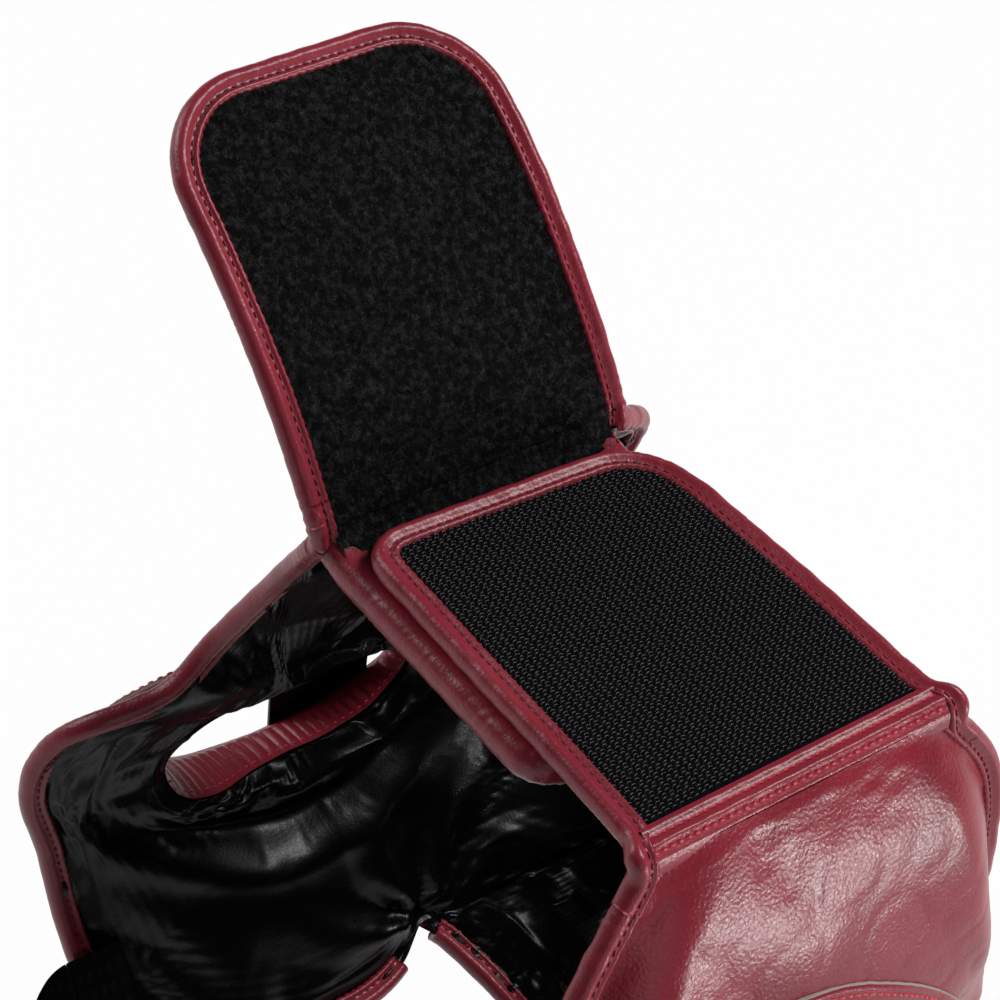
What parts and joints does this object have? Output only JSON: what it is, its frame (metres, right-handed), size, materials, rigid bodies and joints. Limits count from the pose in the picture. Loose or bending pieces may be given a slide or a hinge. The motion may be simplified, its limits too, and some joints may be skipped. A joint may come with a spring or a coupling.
{
  "type": "boxing headgear",
  "caption": "Padded boxing headgear laid face down with its rear hook-and-loop closure open, with ear guards, open crown, padded tongue and chin strap.",
  "frame": {"origin": "on the surface it lies on, under the middle of the head at ear level", "axes": "+Z out through the open rear closure, +Y towards the crown, +X towards the wearer's right; the brow and the cheeks face down"},
  "size_m": [0.2655, 0.2662, 0.3289],
  "materials": {
    "burgundy_pu_leather": "grained, semi-gloss",
    "black_pu_lining": "smooth, semi-gloss",
    "black_fleece": "brushed loop pile",
    "hook_tape": "woven, stiff hooks",
    "grey_pu_foam": "matt foam",
    "black_webbing": "woven, matt"
  },
  "bodies": {
    "shell": {"brow_cover": "burgundy_pu_leather", "brow_foam": "grey_pu_foam", "brow_lining": "black_pu_lining", "side_cover_left": "burgundy_pu_leather", "side_foam_left": "grey_pu_foam", "side_lining_left": "black_pu_lining", "side_cover_right": "burgundy_pu_leather", "side_foam_right": "grey_pu_foam", "side_lining_right": "black_pu_lining", "wing_cover_left": "burgundy_pu_leather", "wing_foam_left": "grey_pu_foam", "wing_lining_left": "black_pu_lining", "wing_cover_right": "burgundy_pu_leather", "wing_foam_right": "grey_pu_foam", "wing_lining_right": "black_pu_lining", "ear_guard_left": "burgundy_pu_leather", "ear_guard_right": "burgundy_pu_leather", "ear_wall_left": "burgundy_pu_leather", "ear_wall_right": "burgundy_pu_leather", "ear_strap_left": "burgundy_pu_leather", "ear_strap_right": "burgundy_pu_leather", "neck_binding_left": "burgundy_pu_leather", "neck_binding_right": "burgundy_pu_leather", "crown_binding_left": "burgundy_pu_leather", "crown_binding_right": "burgundy_pu_leather", "crown_binding_front": "burgundy_pu_leather", "cheek_binding_left": "burgundy_pu_leather", "cheek_binding_right": "burgundy_pu_leather", "brow_binding": "burgundy_pu_leather", "crown_pad": "burgundy_pu_leather", "crown_strap_front": "burgundy_pu_leather", "crown_strap_left": "burgundy_pu_leather", "crown_strap_right": "burgundy_pu_leather", "hook_backing": "black_pu_lining", "hook_tape": "hook_tape", "hook_binding": "burgundy_pu_leather", "hook_welt": "burgundy_pu_leather", "chin_anchor": "black_webbing", "chin_tab": "black_webbing", "chin_loop_patch": "hook_tape"},
    "loop_flap": {"loop_backing": "burgundy_pu_leather", "loop_fleece": "black_fleece", "loop_binding": "burgundy_pu_leather"},
    "loop_tip": {"loop_tip_backing": "burgundy_pu_leather", "loop_tip_fleece": "black_fleece", "loop_tip_binding": "burgundy_pu_leather"},
    "tongue": {"tongue_fleece": "black_fleece", "tongue_foam": "grey_pu_foam", "tongue_lining": "black_pu_lining", "tongue_edge": "burgundy_pu_leather"},
    "chin_strap": {"chin_strap": "black_webbing", "chin_hook_patch": "hook_tape"}
  },
  "joints": [
    {"name": "loop_flap_crease", "type": "hinge", "parent": "shell", "child": "loop_flap", "pos_m": [-0.047, 0, 0.2552], "axis": [0, 1, 0], "range_deg": [-20, 134]},
    {"name": "loop_flap_bend", "type": "hinge", "parent": "loop_flap", "child": "loop_tip", "pos_m": [-0.08892, 0, 0.29651], "axis": [0, 1, 0], "range_deg": [-2.1, 13.6]},
    {"name": "tongue_seam", "type": "hinge", "parent": "shell", "child": "tongue", "pos_m": [-0.0455, 0, 0.2458], "axis": [0, 1, 0], "range_deg": [0, 25]},
    {"name": "chin_strap_swing", "type": "hinge", "parent": "shell", "child": "chin_strap", "pos_m": [-0.0724, -0.1, 0.05705], "axis": [-0.548, 0, 0.8365], "range_deg": [-100, 0]}
  ],
  "couplings": [
    {"joint": "loop_flap_bend", "follows": "loop_flap_crease", "ratio": 0.1007}
  ]
}
